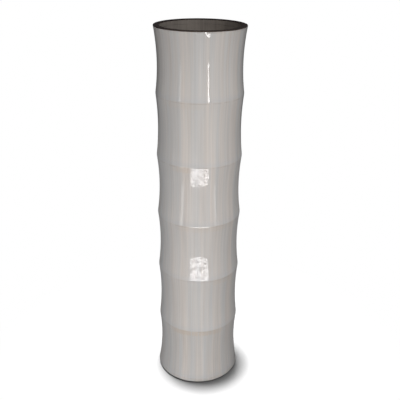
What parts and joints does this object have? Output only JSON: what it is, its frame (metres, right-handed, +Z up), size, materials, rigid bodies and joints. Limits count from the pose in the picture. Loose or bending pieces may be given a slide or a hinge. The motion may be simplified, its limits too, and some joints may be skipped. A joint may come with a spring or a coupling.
{
  "type": "floor vase",
  "caption": "Tall round floor vase in the form of a bamboo culm, glossy pale lacquer over upright strips, with a dark lip and a dark lined inside.",
  "frame": {"origin": "on the floor, at the middle of the foot, in the plane of the felt pads' undersides", "axes": "+Z up the vase's axis towards the mouth; the vase is round, so +X and +Y are free"},
  "size_m": [0.179, 0.179, 0.76],
  "materials": {
    "pale_lacquer": "glossy clear lacquer over pale grey-beige strips",
    "dark_lacquer": "glossy brown-black lacquer",
    "felt": "pressed felt"
  },
  "bodies": {
    "root": {"stave_01": "pale_lacquer", "stave_02": "pale_lacquer", "stave_03": "pale_lacquer", "stave_04": "pale_lacquer", "stave_05": "pale_lacquer", "stave_06": "pale_lacquer", "stave_07": "pale_lacquer", "stave_08": "pale_lacquer", "stave_09": "pale_lacquer", "stave_10": "pale_lacquer", "stave_11": "pale_lacquer", "stave_12": "pale_lacquer", "stave_13": "pale_lacquer", "stave_14": "pale_lacquer", "stave_15": "pale_lacquer", "stave_16": "pale_lacquer", "stave_17": "pale_lacquer", "stave_18": "pale_lacquer", "stave_19": "pale_lacquer", "stave_20": "pale_lacquer", "stave_21": "pale_lacquer", "stave_22": "pale_lacquer", "stave_23": "pale_lacquer", "stave_24": "pale_lacquer", "stave_25": "pale_lacquer", "stave_26": "pale_lacquer", "stave_27": "pale_lacquer", "stave_28": "pale_lacquer", "stave_29": "pale_lacquer", "stave_30": "pale_lacquer", "stave_31": "pale_lacquer", "stave_32": "pale_lacquer", "stave_33": "pale_lacquer", "stave_34": "pale_lacquer", "stave_35": "pale_lacquer", "stave_36": "pale_lacquer", "rim_ring": "dark_lacquer", "inner_lining": "dark_lacquer", "base_disc": "dark_lacquer", "felt_pad_1": "felt", "felt_pad_2": "felt", "felt_pad_3": "felt", "felt_pad_4": "felt"}
  },
  "joints": []
}
